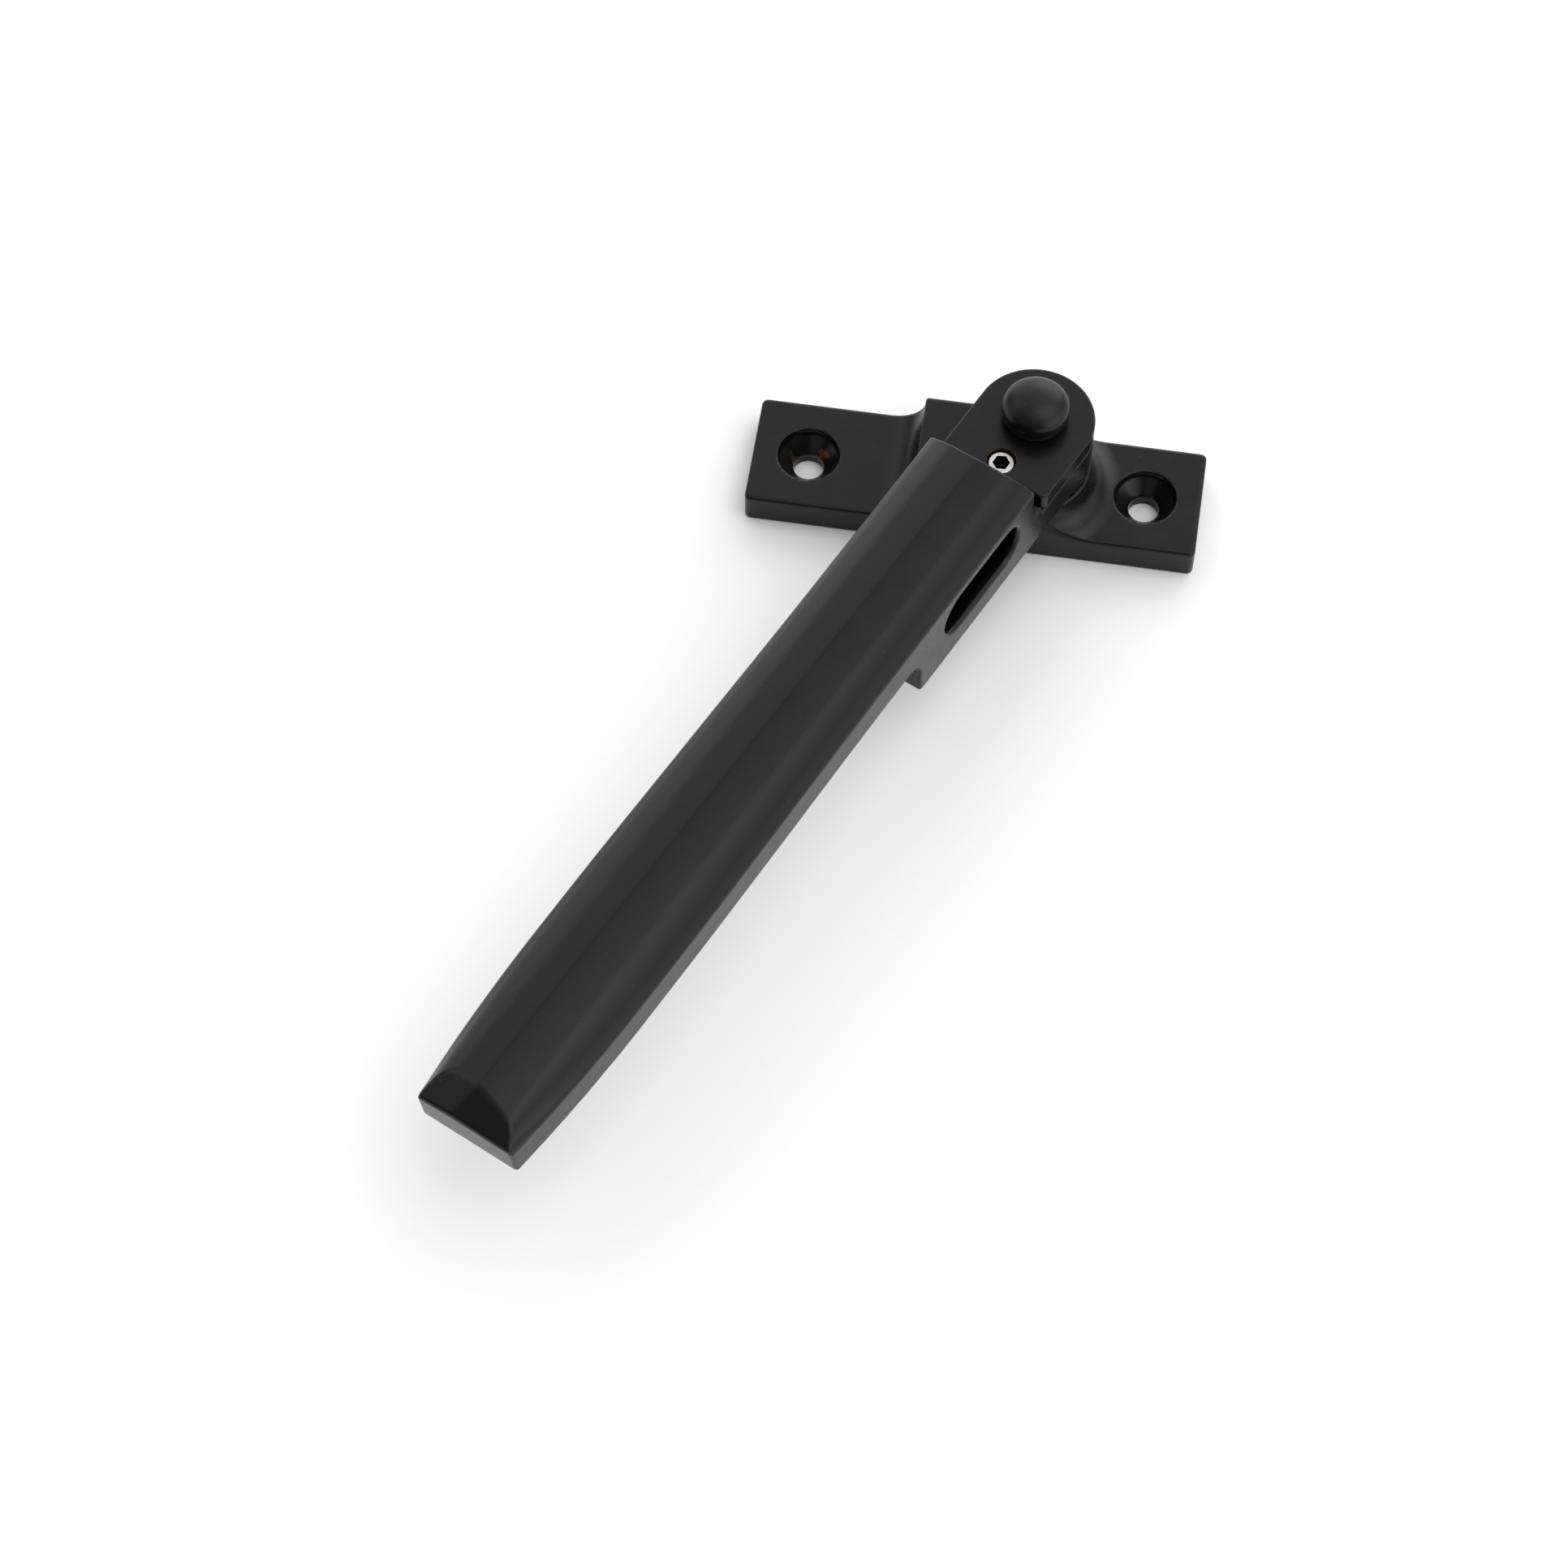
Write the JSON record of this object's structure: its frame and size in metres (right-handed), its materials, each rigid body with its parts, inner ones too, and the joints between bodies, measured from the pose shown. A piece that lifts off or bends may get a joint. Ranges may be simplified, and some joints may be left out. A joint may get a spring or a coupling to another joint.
{
  "type": "casement window fastener",
  "caption": "Casement window fastener: a ridged lever with a slotted night-vent nose turns on a dome-headed pin over a screw-fixed plate, with a locking grub screw.",
  "frame": {"origin": "centre of the base plate's flat underside, which lies against the window stile", "axes": "+X along the base plate, +Z out of the mounting face towards the lever, +Y across the plate away from the lever's tip at rest"},
  "size_m": [0.0956, 0.1445, 0.0321],
  "materials": {
    "black_paint": "satin black powder coat over brass",
    "black_paint_lever": "satin black powder coat over brass",
    "black_nylon": "moulded black nylon",
    "white_acetal": "turned acetal",
    "spring_steel": "dull spring steel",
    "zinc_steel": "bright zinc-plated steel"
  },
  "bodies": {
    "base": {"base_plate": "black_paint", "pivot_pin": "black_paint", "thrust_washer": "white_acetal", "spring_washer": "spring_steel", "pin_nut": "zinc_steel"},
    "handle": {"handle_lever": "black_paint_lever", "pivot_plate": "black_paint", "head_washer": "black_nylon"},
    "locking_screw": {"grub_screw": "zinc_steel"}
  },
  "joints": [
    {"name": "handle_turn", "type": "hinge", "parent": "base", "child": "handle", "pos_m": [0.0082, 0, 0.0171], "axis": [0, 0, 1], "range_deg": [-64.9, 115.1]},
    {"name": "grub_travel", "type": "slide", "parent": "handle", "child": "locking_screw", "axis": [0, 0, 1], "range_m": [-0.0025, 0]}
  ]
}
